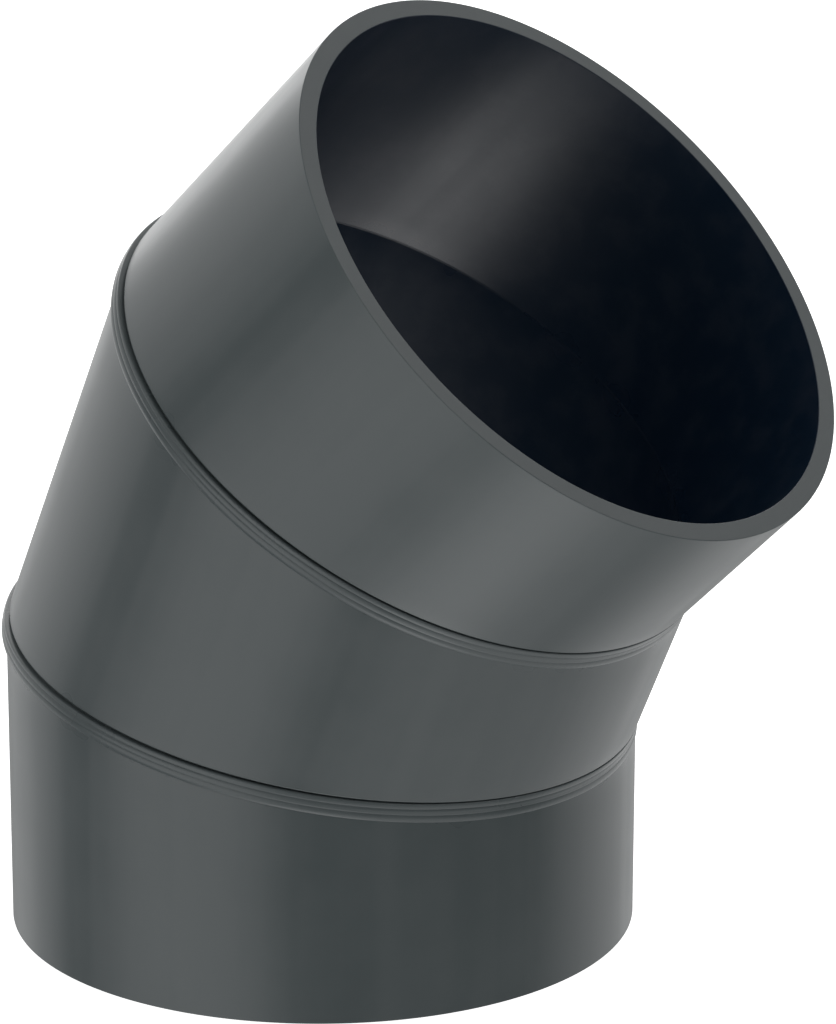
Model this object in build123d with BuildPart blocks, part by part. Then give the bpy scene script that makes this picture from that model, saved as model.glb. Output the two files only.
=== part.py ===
from build123d import *
import os
from math import cos, radians, sin

# Fabricated 45 degree pipe elbow: three pipe segments joined by two hot gas rod welds.
# Millimetres and degrees. The inlet end sits on the XY plane and the bend leans toward +X.

# Pipe and bend
PIPE_RADIUS = 125.0
WALL = 7.7
BORE_RADIUS = PIPE_RADIUS - WALL
JOINT_ANGLE = 22.5
LEG_LENGTH = 103.0
GORE_LENGTH = 115.25
OVERRUN = 60.0
RIM_EDGE_BREAK = 0.3

# Weld groove cut into the pipe ends at a joint, as distances from the mitre plane
ROOT_GAP = 1.0
ROOT_FACE = 1.0
GROOVE_ABOVE = 4.3
GROOVE_BELOW = 3.4
GROOVE_EXTRA = 3.0

# Rod runs inside the groove, as depths under the pipe surface
ROOT_TOP_DEPTH = 4.9
FILL_TOP_DEPTH = 1.4
FILL_SPLIT = 0.3

# Three cap rods side by side: edge positions along the joint axis, heights over the pipe
CAP_NAMES = ("cap_run_lower", "cap_run_centre", "cap_run_upper")
CAP_EDGES = (-4.2, -1.0, 1.55, 3.45)
CAP_EDGE_HEIGHTS = (0.75, 1.2, 0.85, 0.35)
CAP_CRESTS = (1.55, 1.6, 1.1)
CAP_SHOULDER = 0.5

# A mitred pipe end is an oval, longer across the bend by this factor
OVAL = 1 / cos(radians(JOINT_ANGLE / 2))


def direction(angle):
    """Unit vector leaning from straight up toward the inside of the bend."""
    return Vector(sin(radians(angle)), 0, cos(radians(angle)))


def cross_plane(point, angle):
    """Plane across the pipe at a point, its X toward the inside of the bend."""
    return Plane(origin=point, x_dir=direction(angle + 90), z_dir=direction(angle))


def groove_side(depth, mouth):
    """Distance of one groove face from the mitre plane at a depth under the pipe surface."""
    slope = (mouth - ROOT_GAP / 2) / (WALL - ROOT_FACE)
    return mouth - slope * depth


def above(depth):
    """Height of the upper groove face at a depth."""
    return groove_side(depth, GROOVE_ABOVE)


def below(depth):
    """Height of the lower groove face at a depth."""
    return -groove_side(depth, GROOVE_BELOW)


def polygon(points):
    """Flat section through the points, given as radius and height."""
    with BuildSketch() as section:
        with BuildLine():
            Polyline(*points, close=True)
        make_face()
    return section.sketch


def cap_section(number):
    """One cap rod in section: it sits on the fill runs and has a crowned top."""
    low, high = CAP_EDGES[number], CAP_EDGES[number + 1]
    base = PIPE_RADIUS - FILL_TOP_DEPTH
    low_corner = (PIPE_RADIUS + CAP_EDGE_HEIGHTS[number], low)
    high_corner = (PIPE_RADIUS + CAP_EDGE_HEIGHTS[number + 1], high)
    crest = (PIPE_RADIUS + CAP_CRESTS[number], (low + high) / 2)
    with BuildSketch() as section:
        with BuildLine():
            Polyline(low_corner, (base, low), (base, high), high_corner)
            ThreePointArc(high_corner, crest, low_corner)
        make_face()
        heights = section.vertices().sort_by(Axis.Y)
        if number == 0:
            fillet(heights[:2].sort_by(Axis.X)[-1], radius=CAP_SHOULDER)
        if number == 2:
            fillet(heights[-2:].sort_by(Axis.X)[-1], radius=CAP_SHOULDER)
    return section.sketch


def oval_ring(section):
    """Closed ring of a section, stretched to the oval of the mitred pipe end."""
    with BuildPart() as ring:
        with BuildSketch(Plane.XZ):
            add(section)
        revolve(axis=Axis.Z)
    return scale(ring.part, by=(OVAL, 1, 1))


# Joint and end positions along the bend
lower_point = direction(0) * LEG_LENGTH
upper_point = lower_point + direction(JOINT_ANGLE) * GORE_LENGTH
outlet_point = upper_point + direction(2 * JOINT_ANGLE) * LEG_LENGTH
gore_start = lower_point - direction(JOINT_ANGLE) * OVERRUN
lower_mitre = cross_plane(lower_point, JOINT_ANGLE / 2)
upper_mitre = cross_plane(upper_point, JOINT_ANGLE * 3 / 2)

# Groove cut from the pipe ends: parallel at the root, then flaring out past the surface
root_radius = BORE_RADIUS + ROOT_FACE
root_top = PIPE_RADIUS - ROOT_TOP_DEPTH
fill_top = PIPE_RADIUS - FILL_TOP_DEPTH
groove = oval_ring(
    polygon(
        [
            (BORE_RADIUS - GROOVE_EXTRA, -ROOT_GAP / 2),
            (root_radius, -ROOT_GAP / 2),
            (PIPE_RADIUS + GROOVE_EXTRA, below(-GROOVE_EXTRA)),
            (PIPE_RADIUS + GROOVE_EXTRA, above(-GROOVE_EXTRA)),
            (root_radius, ROOT_GAP / 2),
            (BORE_RADIUS - GROOVE_EXTRA, ROOT_GAP / 2),
        ]
    )
)

# Sections of the rod runs, from the bore outwards
run_sections = {
    "root_run": polygon(
        [
            (BORE_RADIUS, -ROOT_GAP / 2),
            (root_radius, -ROOT_GAP / 2),
            (root_top, below(ROOT_TOP_DEPTH)),
            (root_top, above(ROOT_TOP_DEPTH)),
            (root_radius, ROOT_GAP / 2),
            (BORE_RADIUS, ROOT_GAP / 2),
        ]
    ),
    "fill_run_lower": polygon(
        [
            (root_top, below(ROOT_TOP_DEPTH)),
            (fill_top, below(FILL_TOP_DEPTH)),
            (fill_top, FILL_SPLIT),
            (root_top, FILL_SPLIT),
        ]
    ),
    "fill_run_upper": polygon(
        [
            (root_top, FILL_SPLIT),
            (fill_top, FILL_SPLIT),
            (fill_top, above(FILL_TOP_DEPTH)),
            (root_top, above(ROOT_TOP_DEPTH)),
        ]
    ),
}
for cap_number, cap_name in enumerate(CAP_NAMES):
    run_sections[cap_name] = cap_section(cap_number)

# Inlet leg: upright pipe, square at the bottom, mitred and bevelled at the top
with BuildPart() as inlet_leg:
    with BuildSketch(Plane.XY):
        Circle(PIPE_RADIUS)
        Circle(BORE_RADIUS, mode=Mode.SUBTRACT)
    extrude(amount=LEG_LENGTH + OVERRUN)
    inlet_rim = inlet_leg.faces().sort_by(Axis.Z)[0]
    chamfer(inlet_rim.edges(), length=RIM_EDGE_BREAK)
    split(bisect_by=lower_mitre, keep=Keep.BOTTOM)
    add(lower_mitre.location * groove, mode=Mode.SUBTRACT)
inlet_leg.part.label = "inlet leg"

# Middle gore: short pipe, mitred and bevelled at both ends
with BuildPart() as middle_gore:
    with BuildSketch(cross_plane(gore_start, JOINT_ANGLE)):
        Circle(PIPE_RADIUS)
        Circle(BORE_RADIUS, mode=Mode.SUBTRACT)
    extrude(amount=GORE_LENGTH + 2 * OVERRUN)
    split(bisect_by=lower_mitre, keep=Keep.TOP)
    split(bisect_by=upper_mitre, keep=Keep.BOTTOM)
    add(lower_mitre.location * groove, mode=Mode.SUBTRACT)
    add(upper_mitre.location * groove, mode=Mode.SUBTRACT)
middle_gore.part.label = "middle gore"

# Outlet leg: pipe leaning at the full bend angle, mitred and bevelled at its lower end
with BuildPart() as outlet_leg:
    with BuildSketch(cross_plane(outlet_point, 2 * JOINT_ANGLE)):
        Circle(PIPE_RADIUS)
        Circle(BORE_RADIUS, mode=Mode.SUBTRACT)
    extrude(amount=-LEG_LENGTH - OVERRUN)
    outlet_axis = Axis(outlet_point, direction(2 * JOINT_ANGLE))
    outlet_rim = outlet_leg.faces().sort_by(outlet_axis)[-1]
    chamfer(outlet_rim.edges(), length=RIM_EDGE_BREAK)
    split(bisect_by=upper_mitre, keep=Keep.TOP)
    add(upper_mitre.location * groove, mode=Mode.SUBTRACT)
outlet_leg.part.label = "outlet leg"


def export_weld(joint_name, mitre, leg_below, leg_above):
    """Make and export the six rod runs of one joint, its cap rods trimmed to the pipes."""
    for run_name, section in run_sections.items():
        placed_ring = mitre.location * oval_ring(section)
        with BuildPart() as rod:
            add(placed_ring)
            if run_name == "cap_run_lower":
                add(leg_below.part, mode=Mode.SUBTRACT)
            if run_name == "cap_run_upper":
                add(leg_above.part, mode=Mode.SUBTRACT)
        rod.part.label = f"{joint_name} weld {run_name}".replace("_", " ")
        export_step(rod.part, f"parts/{joint_name}_weld_{run_name}.step")


os.makedirs("parts", exist_ok=True)
export_step(inlet_leg.part, "parts/inlet_leg.step")
export_step(middle_gore.part, "parts/middle_gore.step")
export_step(outlet_leg.part, "parts/outlet_leg.step")
export_weld("lower", lower_mitre, inlet_leg, middle_gore)
export_weld("upper", upper_mitre, middle_gore, outlet_leg)
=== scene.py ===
import math

import bpy
import numpy as np
from mathutils import Matrix, Vector


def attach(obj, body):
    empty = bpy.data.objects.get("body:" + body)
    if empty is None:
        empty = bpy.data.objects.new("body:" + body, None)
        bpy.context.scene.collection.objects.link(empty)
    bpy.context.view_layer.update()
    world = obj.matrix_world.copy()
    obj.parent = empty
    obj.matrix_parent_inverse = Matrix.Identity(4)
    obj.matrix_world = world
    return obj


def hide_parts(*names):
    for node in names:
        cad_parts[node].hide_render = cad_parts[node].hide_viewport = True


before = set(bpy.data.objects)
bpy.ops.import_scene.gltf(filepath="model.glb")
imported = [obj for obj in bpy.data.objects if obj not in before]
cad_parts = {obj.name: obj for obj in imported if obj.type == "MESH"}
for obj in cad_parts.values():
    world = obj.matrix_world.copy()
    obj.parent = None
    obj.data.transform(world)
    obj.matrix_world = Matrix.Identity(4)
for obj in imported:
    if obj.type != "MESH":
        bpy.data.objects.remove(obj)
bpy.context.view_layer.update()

# ---------------------------------------------------------------- sizes of the fitting, in metres
PIPE_RADIUS = 0.125
BORE_RADIUS = 0.1173
BEND = math.radians(22.5)          # turn at each seam
LEG = 0.103                        # axis length of each end leg
GORE = 0.11525                     # axis length of the middle piece
ROOT_GAP = 0.001                   # gap left between two pipe ends at the bore
ROOT_FACE = 0.001                  # blunt edge left at the bore side of each bevel
MOUTH_ABOVE, MOUTH_BELOW = 0.0044, 0.0034   # half widths of the weld groove at the pipe's surface
ROOT_TOP = 0.0049                  # depth of the root rod's top under the surface
EDGE_BREAK = 0.0003                # rounding of the sawn rims
RUN_FOOT = 0.0015                  # depth under the surface that a cap rod reaches down to
ROD_EDGES = (-0.0042, -0.0010, 0.00145, 0.0029)          # sides of the three cap rods, along the seam's axis
ROD_SIDE_HEIGHTS = (0.00070, 0.00135, 0.00110, 0.00080)  # heights of those sides over the pipe
ROD_CRESTS = (0.00155, 0.0016, 0.0012)                   # heights of the three crowns
TILT = BEND / 2                    # lean of a pipe's axis from its seam's axis
OVAL = 1 / math.cos(TILT)          # a slant cut is longer across the bend by this factor

# ---------------------------------------------------------------- fine detail, in metres
END_REACH = 0.004                  # how far the profile of a pipe's end runs into the pipe
RIM_MARGIN = 0.0002                # flat rows kept beside the rounded rims, which hold their shading crisp
BEVEL_SOFT = 0.00025               # softening of the bevel's edge at the pipe's surface
DIE_SPACING = 0.0016               # spacing of the extruder's lines
SEAM_REACH = 0.013                 # how far the hot gas glazes the pipe on either side of a seam
SIDE_WOBBLE = 0.00006              # wobble of a cap rod's sides
CROWN_WOBBLE = 0.00004             # slow rise and fall of a cap rod's crown
RIPPLE = 0.000010                  # height of the chevron ripples on the crown
RIPPLES_ROUND = 262                # radians of ripple per radian round the seam
RIPPLE_DRIFT = 3.0                 # radians by which the ripples wander from an even beat
CHEVRON = 2.2                      # radians by which the crown's middle trails its sides
ROLL_WIDTH = 0.00035               # width of the rounded outermost side of the cap
ROLL_DEPTH = 0.0003                # depth under the pipe's surface that it rolls to
INSIDE_SPREAD = 0.0009             # extra width of the upper rod at the inside of the bend
INSIDE_LOSS = 0.55                 # share of the rods' height lost at the inside of the bend

# ---------------------------------------------------------------- fineness of the meshes
PIPE_ROUND = 384                   # points round a pipe
ROD_ROUND = 1440                   # points round a cap rod, enough for its ripples
WALL_ROWS = 12                     # rows of points along a pipe's wall, between its ends
SHARP_FROM = 32                    # degrees between faces from which an edge is shaded sharp


def along(angle):
    """Unit vector at this angle from upright, leaning toward +X."""
    return Vector((math.sin(angle), 0.0, math.cos(angle)))


LOWER_SEAM = along(0.0) * LEG
UPPER_SEAM = LOWER_SEAM + along(BEND) * GORE
LOWER_MITRE = along(BEND / 2)      # normals of the slant cuts at the two seams
UPPER_MITRE = along(BEND * 1.5)


# ---------------------------------------------------------------- shader helpers
def feed(tree, socket, value):
    """Links a socket to another one, or gives it a plain value."""
    if isinstance(value, bpy.types.NodeSocket):
        tree.links.new(value, socket)
    else:
        socket.default_value = value


def add(tree, kind, settings=None, **inputs):
    """A node with its settings and its inputs, each a socket or a plain value.

    An underscore in a name stands for the space in the socket's own name. The names i0, i1 and so on give
    sockets by number."""
    made = tree.nodes.new(kind)
    for name, value in (settings or {}).items():
        setattr(made, name, value)
    for name, value in inputs.items():
        numbered = name[0] == "i" and name[1:].isdigit()
        feed(tree, made.inputs[int(name[1:]) if numbered else name.replace("_", " ")], value)
    return made


def sums(tree, operation, *values, clamp=False):
    """Output of one Math node."""
    made = add(tree, "ShaderNodeMath", settings={"operation": operation, "use_clamp": clamp},
               **{f"i{n}": v for n, v in enumerate(values)})
    return made.outputs[0]


def vectors(tree, operation, *values, out=0):
    """Output of one Vector Math node."""
    made = add(tree, "ShaderNodeVectorMath", settings={"operation": operation},
               **{f"i{n}": v for n, v in enumerate(values)})
    return made.outputs[out]


def ramp(tree, value, low, high, to_low=0.0, to_high=1.0):
    """Smooth step of a value from low to high."""
    made = add(tree, "ShaderNodeMapRange", settings={"interpolation_type": "SMOOTHSTEP"}, Value=value,
               From_Min=low, From_Max=high, To_Min=to_low, To_Max=to_high)
    return made.outputs[0]


def blend_colours(tree, factor, first, second):
    """Output of a colour Mix node: first where the factor is 0 and second where it is 1."""
    made = tree.nodes.new("ShaderNodeMix")
    made.data_type = "RGBA"
    for number, value in ((0, factor), (6, first), (7, second)):
        feed(tree, made.inputs[number], value)
    return made.outputs[2]


def group(name, inputs, outputs):
    """An empty shader group with named sockets, and its inlet and outlet nodes."""
    tree = bpy.data.node_groups.new(name, "ShaderNodeTree")
    kinds = {"vector": "NodeSocketVector", "value": "NodeSocketFloat", "colour": "NodeSocketColor"}
    for label, kind, start in inputs:
        socket = tree.interface.new_socket(name=label, in_out="INPUT", socket_type=kinds[kind])
        if start is not None:
            socket.default_value = start
    for label, kind in outputs:
        tree.interface.new_socket(name=label, in_out="OUTPUT", socket_type=kinds[kind])
    return tree, tree.nodes.new("NodeGroupInput").outputs, tree.nodes.new("NodeGroupOutput").inputs


def use(tree, made_group, **inputs):
    """Outputs of a group placed in a material with inputs of its own."""
    node = tree.nodes.new("ShaderNodeGroup")
    node.node_tree = made_group
    for name, value in inputs.items():
        feed(tree, node.inputs[name.replace("_", " ")], value)
    return node.outputs


# ---------------------------------------------------------------- effects shared by the finishes
def make_die_lines():
    """Faint lengthwise lines left by the extruder's die: noise stretched 60 times along its axis."""
    tree, given, out = group("die_lines", [("Place", "vector", None), ("Spacing", "value", DIE_SPACING)],
                             [("Height", "value"), ("Shade", "value")])
    stretched = vectors(tree, "MULTIPLY", given["Place"], (1.0, 1.0, 1 / 60))
    scale = sums(tree, "DIVIDE", 1.0, given["Spacing"])
    fine = add(tree, "ShaderNodeTexNoise", Vector=stretched, Scale=scale, Detail=3.0, Roughness=0.6)
    broad_scale = sums(tree, "MULTIPLY", scale, 0.11)
    broad = add(tree, "ShaderNodeTexNoise", Vector=stretched, Scale=broad_scale, Detail=2.0)
    tree.links.new(fine.outputs[0], out["Height"])
    tree.links.new(broad.outputs[0], out["Shade"])
    return tree


def make_grain():
    """Skin of cooled PVC: a very fine pebble over a soft ripple, and a broad cloud for tone and gloss."""
    tree, given, out = group("pvc_grain", [("Place", "vector", None)],
                             [("Height", "value"), ("Cloud", "value")])
    pebble = add(tree, "ShaderNodeTexNoise", Vector=given["Place"], Scale=2600.0, Detail=2.0, Roughness=0.5)
    ripple = add(tree, "ShaderNodeTexNoise", Vector=given["Place"], Scale=260.0, Detail=3.0, Roughness=0.55)
    cloud = add(tree, "ShaderNodeTexNoise", Vector=given["Place"], Scale=22.0, Detail=4.0, Roughness=0.6)
    pebbled = sums(tree, "MULTIPLY", pebble.outputs[0], 0.35)
    rippled = sums(tree, "MULTIPLY", ripple.outputs[0], 0.65)
    tree.links.new(sums(tree, "ADD", pebbled, rippled), out["Height"])
    tree.links.new(cloud.outputs[0], out["Cloud"])
    return tree


def make_seam_heat():
    """How near a point is to a slant-cut seam: 1 on the seam, falling smoothly to 0 at Reach either side."""
    wanted = [("Place", "vector", None), ("Seam", "vector", None), ("Normal", "vector", None),
              ("Reach", "value", SEAM_REACH)]
    tree, given, out = group("seam_heat", wanted, [("Heat", "value")])
    offset = vectors(tree, "SUBTRACT", given["Place"], given["Seam"])
    away = sums(tree, "ABSOLUTE", vectors(tree, "DOT_PRODUCT", offset, given["Normal"], out=1))
    tree.links.new(ramp(tree, away, 0.002, given["Reach"], 1.0, 0.0), out["Heat"])
    return tree


def make_wall_zones():
    """Parts of a pipe wall by distance from its axis. Bore is 1 on the inner wall, Cut is 1 on a sawn face.

    Both fade over a fraction of a millimetre."""
    tree, given, out = group("wall_zones", [("Place", "vector", None)], [("Bore", "value"), ("Cut", "value")])
    flat = vectors(tree, "MULTIPLY", given["Place"], (1.0, 1.0, 0.0))
    radius = vectors(tree, "LENGTH", flat, out=1)
    bore = ramp(tree, radius, BORE_RADIUS + 0.0001, BORE_RADIUS + 0.0004, 1.0, 0.0)
    inner = ramp(tree, radius, BORE_RADIUS + 0.0001, BORE_RADIUS + 0.0004)
    outer = ramp(tree, radius, PIPE_RADIUS - 0.0004, PIPE_RADIUS - 0.0001, 1.0, 0.0)
    tree.links.new(bore, out["Bore"])
    tree.links.new(sums(tree, "MULTIPLY", inner, outer), out["Cut"])
    return tree


def make_saw_marks():
    """Fine straight marks of a band saw across a cut face, all one way, with uneven spacing."""
    tree, given, out = group("saw_marks", [("Place", "vector", None)], [("Height", "value")])
    strokes = vectors(tree, "MULTIPLY", given["Place"], (1.0, 0.04, 1.0))
    noise = add(tree, "ShaderNodeTexNoise", Vector=strokes, Scale=1500.0, Detail=3.0, Roughness=0.65)
    tree.links.new(noise.outputs[0], out["Height"])
    return tree


def make_bore_patches():
    """Soft cloudy patches about a centimetre across, which vary the bore's tone between its dark and pale
    colour.
    """
    tree, given, out = group("bore_patches", [("Place", "vector", None)], [("Patches", "value")])
    patches = add(tree, "ShaderNodeTexNoise", Vector=given["Place"], Scale=75.0, Detail=5.0, Roughness=0.6)
    tree.links.new(ramp(tree, patches.outputs[0], 0.42, 0.68), out["Patches"])
    return tree


die_lines = make_die_lines()
bore_patches = make_bore_patches()
pvc_grain = make_grain()
seam_heat = make_seam_heat()
wall_zones = make_wall_zones()
saw_marks = make_saw_marks()

OUTSIDE = (0.056, 0.070, 0.073, 1.0)
OUTSIDE_PALE = (0.066, 0.080, 0.083, 1.0)
# the two bore colours below are painted shade: the bore is the same PVC as the outside, painted far darker
# and bluer for the shade inside the pipe
BORE_PAINTED_SHADE = (0.005, 0.015, 0.032, 1.0)
BORE_PAINTED_SHADE_PALE = (0.014, 0.023, 0.040, 1.0)
SAWN = (0.085, 0.097, 0.100, 1.0)
ROD = (0.060, 0.074, 0.077, 1.0)


def shader(name):
    """A new material with one Principled shader for plain plastic, its node tree and that shader."""
    made = bpy.data.materials.new(name)
    made.use_nodes = True
    tree = made.node_tree
    tree.nodes.clear()
    end = tree.nodes.new("ShaderNodeOutputMaterial")
    skin = tree.nodes.new("ShaderNodeBsdfPrincipled")
    tree.links.new(skin.outputs[0], end.inputs[0])
    skin.inputs["IOR"].default_value = 1.5
    skin.inputs["Metallic"].default_value = 0.0
    return made, tree, skin


def pipe_finish(name, foot, lean, seams):
    """Finish of one length of pipe. foot is a point on its axis and lean its angle from upright.

    The pattern is turned into the pipe's own frame, so the die lines run along it."""
    made, tree, skin = shader(name)
    place = add(tree, "ShaderNodeTexCoord").outputs["Object"]
    own = add(tree, "ShaderNodeMapping", settings={"vector_type": "TEXTURE"}, Vector=place, Location=foot,
              Rotation=(0.0, lean, 0.0)).outputs[0]
    zones = use(tree, wall_zones, Place=own)
    lines = use(tree, die_lines, Place=own, Spacing=DIE_SPACING)
    grain = use(tree, pvc_grain, Place=own)
    marks = use(tree, saw_marks, Place=own)
    heat = None
    for seam, normal in seams:
        near = use(tree, seam_heat, Place=place, Seam=seam, Normal=normal, Reach=SEAM_REACH)["Heat"]
        heat = near if heat is None else sums(tree, "MAXIMUM", heat, near)
    # colour: a cloudy grey outside, painted shade on the bore (far darker and bluer), paler where the saw has
    # cut
    half_shade = sums(tree, "MULTIPLY", lines["Shade"], 0.5)
    half_cloud = sums(tree, "MULTIPLY", grain["Cloud"], 0.5)
    cloud = sums(tree, "ADD", half_shade, half_cloud)
    grey = blend_colours(tree, ramp(tree, cloud, 0.38, 0.62), OUTSIDE, OUTSIDE_PALE)
    # painted shade: the bore's dark blue colours stand for the shade inside the pipe
    bore = blend_colours(tree, use(tree, bore_patches, Place=own)["Patches"], BORE_PAINTED_SHADE, BORE_PAINTED_SHADE_PALE)
    grey = blend_colours(tree, zones["Bore"], grey, bore)
    grey = blend_colours(tree, zones["Cut"], grey, SAWN)
    tree.links.new(grey, skin.inputs["Base Color"])
    # gloss: satin, a little smoother where the hot gas has glazed it, duller on a sawn face
    satin = ramp(tree, cloud, 0.35, 0.65, 0.30, 0.36)
    satin = sums(tree, "SUBTRACT", satin, sums(tree, "MULTIPLY", heat, 0.05))
    satin = sums(tree, "ADD", satin, sums(tree, "MULTIPLY", zones["Cut"], 0.2))
    tree.links.new(satin, skin.inputs["Roughness"])
    # relief: die lines and grain on the walls, saw marks on the cut faces
    line_height = sums(tree, "MULTIPLY", lines["Height"], 0.5)
    grain_height = sums(tree, "MULTIPLY", grain["Height"], 0.3)
    wall_height = sums(tree, "ADD", line_height, grain_height)
    saw_height = sums(tree, "MULTIPLY", sums(tree, "MULTIPLY", marks["Height"], zones["Cut"]), 2.5)
    height = sums(tree, "ADD", wall_height, saw_height)
    bump = add(tree, "ShaderNodeBump", Strength=1.0, Distance=0.000018, Height=height)
    tree.links.new(bump.outputs[0], skin.inputs["Normal"])
    return made


def rod_finish(name, dark, pale):
    """Finish of a laid welding rod: a little glossier than the pipe, with a cloudy tone from dark to pale."""
    made, tree, skin = shader(name)
    place = add(tree, "ShaderNodeTexCoord").outputs["Object"]
    grain = use(tree, pvc_grain, Place=place)
    tone = blend_colours(tree, ramp(tree, grain["Cloud"], 0.35, 0.65), dark, pale)
    tree.links.new(tone, skin.inputs["Base Color"])
    tree.links.new(ramp(tree, grain["Cloud"], 0.3, 0.7, 0.26, 0.36), skin.inputs["Roughness"])
    bump = add(tree, "ShaderNodeBump", Strength=1.0, Distance=0.000015, Height=grain["Height"])
    tree.links.new(bump.outputs[0], skin.inputs["Normal"])
    return made


# ---------------------------------------------------------------- surfaces
def closed_surface(name, rings):
    """Mesh of a surface closed both ways, on the root body.

    rings has the shape (rows, columns, 3). Each row is one loop round the pipe, and the last row joins back
    to the first. Point n of row r makes a face with point n+1 and with the same two points of row r+1."""
    rows, columns = rings.shape[:2]
    r, c = np.meshgrid(np.arange(rows), np.arange(columns), indexing="ij")
    r2, c2 = (r + 1) % rows, (c + 1) % columns
    corners = [r * columns + c, r * columns + c2, r2 * columns + c2, r2 * columns + c]
    quads = np.stack(corners, -1).reshape(-1, 4)
    mesh = bpy.data.meshes.new(name)
    mesh.vertices.add(rows * columns)
    mesh.vertices.foreach_set("co", rings.reshape(-1))
    mesh.loops.add(quads.size)
    mesh.loops.foreach_set("vertex_index", quads.reshape(-1))
    mesh.polygons.add(len(quads))
    mesh.polygons.foreach_set("loop_start", np.arange(0, quads.size, 4))
    mesh.update(calc_edges=True)
    mesh.validate()
    mesh.polygons.foreach_set("use_smooth", np.ones(len(quads), bool))
    mesh.set_sharp_from_angle(angle=math.radians(SHARP_FROM))
    piece = bpy.data.objects.new(name, mesh)
    bpy.context.scene.collection.objects.link(piece)
    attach(piece, "root")
    return piece


def placed(points, foot, lean):
    """Turns points by lean about Y and moves them to foot: x' = x cos + z sin, z' = z cos - x sin."""
    x, y, z = points[..., 0], points[..., 1], points[..., 2]
    cosine, sine = math.cos(lean), math.sin(lean)
    turned = np.stack([x * cosine + z * sine, y, z * cosine - x * sine], -1)
    return turned + np.array(foot)


def sawn_end():
    """Profile of a square rim as (radius, distance into the pipe), outer wall first.

    Two quarter rounds of EDGE_BREAK are joined by the flat face, and each wall runs on to END_REACH."""
    quarter = np.linspace(0, math.pi / 2, 5)
    outer = [(PIPE_RADIUS - EDGE_BREAK * (1 - math.cos(a)), EDGE_BREAK * (1 - math.sin(a))) for a in quarter]
    inner = [(BORE_RADIUS + EDGE_BREAK * (1 - math.cos(a)), EDGE_BREAK * (1 - math.sin(a)))
             for a in quarter[::-1]]
    flat = [(PIPE_RADIUS - EDGE_BREAK - RIM_MARGIN, 0.0), (BORE_RADIUS + EDGE_BREAK + RIM_MARGIN, 0.0)]
    start = [(PIPE_RADIUS, END_REACH), (PIPE_RADIUS, EDGE_BREAK + RIM_MARGIN)]
    finish = [(BORE_RADIUS, EDGE_BREAK + RIM_MARGIN), (BORE_RADIUS, END_REACH)]
    return start + outer + flat + inner + finish


def bevelled_end(mouth):
    """Profile of an end bevelled for welding as (radius, distance from the slant cut), outer wall first.

    It has the softened edge at the surface, the bevel down to the blunt root face, and the bore."""
    soft = BEVEL_SOFT
    return [(PIPE_RADIUS, mouth + END_REACH),
            (PIPE_RADIUS, mouth + 2 * soft),
            (PIPE_RADIUS, mouth + soft),
            (PIPE_RADIUS - 0.4 * soft, mouth + 0.2 * soft),
            (PIPE_RADIUS - 1.4 * soft, mouth - 0.6 * soft),
            (BORE_RADIUS + ROOT_FACE, ROOT_GAP / 2),
            (BORE_RADIUS, ROOT_GAP / 2),
            (BORE_RADIUS, ROOT_GAP / 2 + 0.0004),
            (BORE_RADIUS, mouth + END_REACH)]


def pipe_length(name, foot, lean, length, low_profile, high_profile, low_cut, high_cut, finish):
    """One length of pipe.

    A profile point (r, s) at angle a lies at x = r cos a, y = r sin a. Its height is s / cos(cut) +
    x tan(cut) above the low end, or that much below the high end, where cut is the slant of that end."""
    a = np.linspace(0, 2 * math.pi, PIPE_ROUND, endpoint=False)

    def loops(profile, cut, top):
        r, s = np.array(profile)[:, :1], np.array(profile)[:, 1:]
        x, y = r * np.cos(a), r * np.sin(a)
        height = s / math.cos(cut) + x * math.tan(cut)
        return np.stack([x, y, length - height if top else height + 0 * x], -1)

    low = loops(low_profile[::-1], low_cut, False)
    high = loops(high_profile, high_cut, True)
    t = np.linspace(0, 1, WALL_ROWS + 2)[1:-1, None, None]
    up = low[-1] * (1 - t) + high[0] * t          # outer wall, from the low end to the high end
    down = high[-1] * (1 - t) + low[0] * t        # bore, back to the low end
    rings = np.concatenate([low, up, high, down])
    piece = closed_surface(name + "_wall", placed(rings, foot, lean))
    piece.data.materials.append(finish)
    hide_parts(name)
    return piece


def wander(a, chance, waves=6, size=1.0):
    """Slow wobble round a seam: a sum of cosines of 2 to waves+1 turns, each with a chance phase and a chance
    strength divided by the square root of its turns."""
    turns = np.arange(2, waves + 2)
    strength = chance.normal(size=waves) / np.sqrt(turns)
    phase = chance.uniform(0, 2 * math.pi, waves)
    return size * (strength * np.cos(np.outer(a, turns) + phase)).sum(1)


def seam_loops(a, radius, height):
    """Points of loops round a seam in its own frame: x = OVAL radius cos a, y = radius sin a, z = height."""
    return np.stack([OVAL * radius * np.cos(a), radius * np.sin(a), height + 0 * radius], -1)


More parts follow.
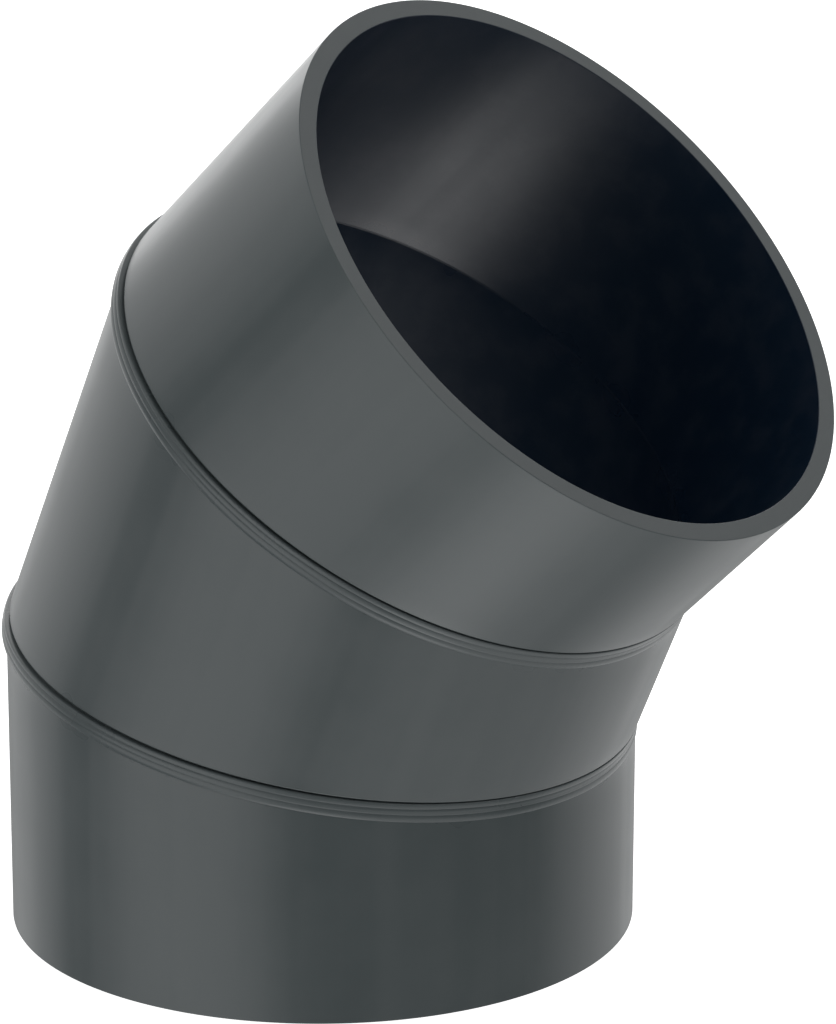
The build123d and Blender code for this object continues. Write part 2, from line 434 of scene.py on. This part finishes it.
def cap_rods(joint, seam, lean, seed, finish):
    """The three crowned rods over one seam.

    Across a rod, u runs 0 to 1 between its sides. Its top is the side heights blended by u, plus a bulge
    times 1 - (2u - 1)^2. The outermost sides roll over in a quarter circle and go under the pipe's surface.
    Along the rod the sides wobble a little and the crown carries fine chevron ripples. The whole stands
    lower toward the inside of the bend, where the torch can't reach squarely."""
    chance = np.random.default_rng(seed)
    a = np.linspace(0, 2 * math.pi, ROD_ROUND, endpoint=False)
    inside = np.clip(0.5 + 0.5 * np.cos(a), 0, 1) ** 1.5          # 1 at the inside of the bend
    edges = [e + wander(a, chance, size=SIDE_WOBBLE) for e in ROD_EDGES]
    edges[3] = edges[3] + INSIDE_SPREAD * inside
    lift = 1 - INSIDE_LOSS * inside
    # rows of points across a rod, closer together at the rolled sides
    u = np.concatenate([[0.0, 0.03, 0.07, 0.12], np.linspace(0.18, 0.82, 9), [0.88, 0.93, 0.97, 1.0]])
    u = u[:, None]
    crown = 1 - (2 * u - 1) ** 2
    for number, run in enumerate(("lower", "centre", "upper")):
        side = edges[number] * (1 - u) + edges[number + 1] * u
        low, high = ROD_SIDE_HEIGHTS[number], ROD_SIDE_HEIGHTS[number + 1]
        bulge = ROD_CRESTS[number] - (low + high) / 2
        top = low * (1 - u) + high * u + bulge * crown
        pipe = np.abs(side) * math.tan(TILT) * np.cos(a)            # the real pipe surface beside the seam
        top = pipe + (top - pipe) * lift
        beat = RIPPLES_ROUND * a + wander(a, chance, size=RIPPLE_DRIFT)
        swell = RIPPLE * (1 + 0.6 * wander(a, chance, waves=9)) * crown
        rise = CROWN_WOBBLE * wander(a, chance, waves=14)
        top = top + swell * np.cos(beat - CHEVRON * crown) + rise
        width = np.abs(edges[number + 1] - edges[number])
        for outer, distance in ((0, u * width), (2, (1 - u) * width)):
            if number == outer:
                roll = np.clip(distance / ROLL_WIDTH, 0, 1)
                top = top - (top - pipe + ROLL_DEPTH) * (1 - np.sqrt(1 - (1 - roll) ** 2))
        foot = np.full((1, ROD_ROUND), PIPE_RADIUS - RUN_FOOT)
        radius = np.concatenate([foot, PIPE_RADIUS + top, foot])
        height = np.concatenate([side[:1], side, side[-1:]])
        rings = seam_loops(a, radius, height)
        name = f"{joint}_weld_cap_run_{run}"
        piece = closed_surface(name + "_rod", placed(rings, seam, lean))
        piece.data.materials.append(finish)
        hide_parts(name)


def root_rod(joint, seam, lean, finish):
    """The first rod, flush with the bore: a ring whose section fills the bottom of the weld groove."""
    a = np.linspace(0, 2 * math.pi, PIPE_ROUND, endpoint=False)
    depth = PIPE_RADIUS - ROOT_TOP
    span = (depth - BORE_RADIUS - ROOT_FACE) / (PIPE_RADIUS - BORE_RADIUS - ROOT_FACE)
    half = ROOT_GAP / 2
    section = np.array([(BORE_RADIUS, -half),
                        (BORE_RADIUS + ROOT_FACE, -half),
                        (depth, -half - (MOUTH_BELOW - half) * span),
                        (depth, half + (MOUTH_ABOVE - half) * span),
                        (BORE_RADIUS + ROOT_FACE, half),
                        (BORE_RADIUS, half)])
    rings = seam_loops(a, section[:, :1] + 0 * a, section[:, 1:] + 0 * a)
    piece = closed_surface(f"{joint}_weld_root_rod", placed(rings, seam, lean))
    piece.data.materials.append(finish)
    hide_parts(f"{joint}_weld_root_run")


def give(node, finish):
    """Puts a finish on every material slot of a carried-over part."""
    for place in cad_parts[node].material_slots:
        place.material = finish


lower = (LOWER_SEAM, LOWER_MITRE)
upper = (UPPER_SEAM, UPPER_MITRE)
laid_rod = rod_finish("laid_rod", ROD, OUTSIDE_PALE)
# the root rod takes the bore's colours, so it carries the same painted shade
root_pass = rod_finish("root_pass", BORE_PAINTED_SHADE, BORE_PAINTED_SHADE_PALE)
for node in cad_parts:
    if "_fill_run_" in node:
        give(node, laid_rod)
pipe_length("inlet_leg", (0, 0, 0), 0.0, LEG, sawn_end(), bevelled_end(MOUTH_BELOW), 0.0, TILT,
            pipe_finish("inlet_leg_pipe", (0.0, 0.0, 0.0), 0.0, [lower]))
pipe_length("middle_gore", LOWER_SEAM, BEND, GORE, bevelled_end(MOUTH_ABOVE), bevelled_end(MOUTH_BELOW),
            TILT, TILT, pipe_finish("middle_gore_pipe", LOWER_SEAM, BEND, [lower, upper]))
pipe_length("outlet_leg", UPPER_SEAM, 2 * BEND, LEG, bevelled_end(MOUTH_ABOVE), sawn_end(), TILT, 0.0,
            pipe_finish("outlet_leg_pipe", UPPER_SEAM, 2 * BEND, [upper]))
for joint, seam, lean, seed in (("lower", LOWER_SEAM, TILT, 11), ("upper", UPPER_SEAM, BEND + TILT, 12)):
    cap_rods(joint, seam, lean, seed, laid_rod)
    root_rod(joint, seam, lean, root_pass)


# ---------------------------------------------------------------- floor, light and camera
def make_floor():
    """Pale square floor just under the fitting. Only the camera sees it: it throws no light or shadow."""
    half = 6.0
    corners = [(-half, -half, 0), (half, -half, 0), (half, half, 0), (-half, half, 0)]
    mesh = bpy.data.meshes.new("pale_floor")
    mesh.from_pydata(corners, [], [(0, 1, 2, 3)])
    floor = bpy.data.objects.new("pale_floor", mesh)
    floor.location = (0.0, 0.0, -0.0004)
    bpy.context.scene.collection.objects.link(floor)
    made, tree, skin = shader("pale_floor")
    skin.inputs["Base Color"].default_value = (0.85, 0.85, 0.85, 1.0)
    skin.inputs["Roughness"].default_value = 0.9
    skin.inputs["Emission Color"].default_value = (1.0, 1.0, 1.0, 1.0)
    skin.inputs["Emission Strength"].default_value = 0.98
    mesh.materials.append(made)
    floor.visible_glossy = floor.visible_diffuse = floor.visible_shadow = False


def heading(azimuth, elevation):
    """Unit vector toward a studio direction: azimuth 0 is toward -Y and 90 toward +X; degrees."""
    a, e = math.radians(azimuth), math.radians(elevation)
    return Vector((math.sin(a) * math.cos(e), -math.cos(a) * math.cos(e), math.sin(e)))


# Studio: an even room and eight large soft cards.
ROOM = 0.2       # brightness of the room
CARD_EDGE = 20   # degrees over which a card fades from full to nothing
CARDS = (
    # azimuth, elevation, half width in degrees, brightness over the room's
    (-15, -15, 30, 1.25),   # in front, low
    (-100, 0, 30, 0.75),    # left
    (-150, 15, 30, 1.5),    # behind, left
    (165, -30, 30, 0.75),   # behind, right
    (105, 45, 30, 1.25),    # high on the right, for the mouth's rim
    (-60, 60, 40, 0.5),     # overhead, left
    (75, -60, 30, 0.75),    # below, right
    (0, -70, 15, 1.5),      # below, in front, which shines up the bore
)


def make_studio():
    """An even pale room with a few large soft cards: each adds a smooth disc of light round its heading."""
    world = bpy.data.worlds.new("studio")
    bpy.context.scene.world = world
    world.use_nodes = True
    tree = world.node_tree
    tree.nodes.clear()
    toward = add(tree, "ShaderNodeTexCoord").outputs["Generated"]
    total = None
    for azimuth, elevation, half_width, gain in CARDS:
        facing = vectors(tree, "DOT_PRODUCT", toward, heading(azimuth, elevation), out=1)
        full, gone = (math.cos(math.radians(half_width + side * CARD_EDGE / 2)) for side in (-1, 1))
        disc = ramp(tree, facing, gone, full, 0.0, gain)
        total = disc if total is None else sums(tree, "ADD", total, disc)
    level = sums(tree, "ADD", total, ROOM)
    seen = add(tree, "ShaderNodeLightPath").outputs["Is Camera Ray"]
    level = sums(tree, "MAXIMUM", level, seen)
    light = add(tree, "ShaderNodeBackground", Color=(1.0, 1.0, 1.0, 1.0), Strength=level)
    end = tree.nodes.new("ShaderNodeOutputWorld")
    tree.links.new(light.outputs[0], end.inputs[0])


# Camera
CAMERA_TARGET = Vector((0.0461, 0.0, 0.1731))
CAMERA_HEADING = (34.59, 16.65)    # azimuth and elevation of the camera from its target, in degrees
CAMERA_DISTANCE = 1.816
CAMERA_ROLL = 0.13                 # degrees
CAMERA_LENS = 164.3                # millimetres, on a sensor SENSOR wide
SENSOR = 36.0


def make_camera():
    """Long lens looking a little down on the fitting from its front right."""
    back = heading(*CAMERA_HEADING)
    right = Vector((0, 0, 1)).cross(back).normalized()
    up = back.cross(right)
    roll = math.radians(CAMERA_ROLL)
    cosine, sine = math.cos(roll), math.sin(roll)
    right, up = right * cosine + up * sine, up * cosine - right * sine
    lens = bpy.data.cameras.new("camera")
    lens.sensor_fit = "AUTO"
    lens.sensor_width = SENSOR
    lens.lens = CAMERA_LENS
    lens.clip_start, lens.clip_end = 0.05, 60.0
    camera = bpy.data.objects.new("camera", lens)
    turn = Matrix((right, up, back)).transposed().to_4x4()
    camera.matrix_world = Matrix.Translation(CAMERA_TARGET + back * CAMERA_DISTANCE) @ turn
    bpy.context.scene.collection.objects.link(camera)
    bpy.context.scene.camera = camera


make_floor()
make_studio()
make_camera()
bpy.context.scene.view_settings.view_transform = "Standard"
